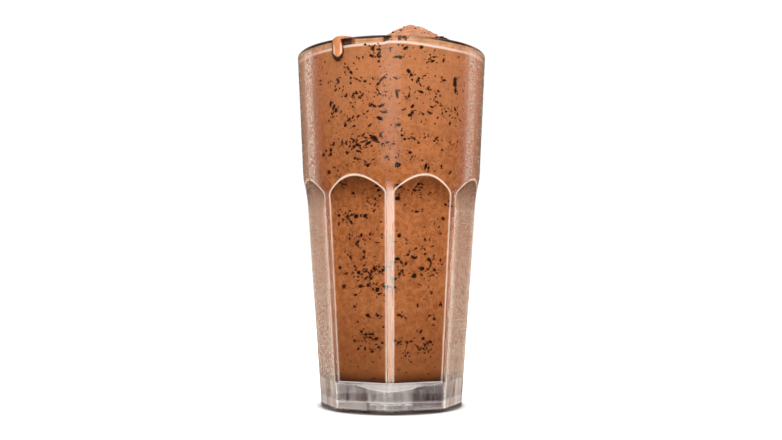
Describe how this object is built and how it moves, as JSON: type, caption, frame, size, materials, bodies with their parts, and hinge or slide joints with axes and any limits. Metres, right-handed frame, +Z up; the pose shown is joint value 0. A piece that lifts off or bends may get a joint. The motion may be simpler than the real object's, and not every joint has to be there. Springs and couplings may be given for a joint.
{
  "type": "chocolate milkshake in a glass tumbler",
  "caption": "Tall clear glass tumbler with flat arched panels below a round band, filled with a thick chocolate milkshake that is heaped over the lip, with one drip down the outside.",
  "frame": {"origin": "middle of the tumbler's foot, on the surface it stands on", "axes": "+Z up along the tumbler's axis; -Y is the front, where one ridge between two panels faces the viewer; +X is to the viewer's right"},
  "size_m": [0.086, 0.086, 0.1744],
  "materials": {
    "clear_glass": "clear pressed glass, polished, with fine condensation droplets on the outside",
    "milkshake": "thick creamy chocolate drink, satin wet surface with dark biscuit flecks"
  },
  "bodies": {
    "root": {"glass": "clear_glass", "shake": "milkshake", "shake_drip": "milkshake"}
  },
  "joints": []
}
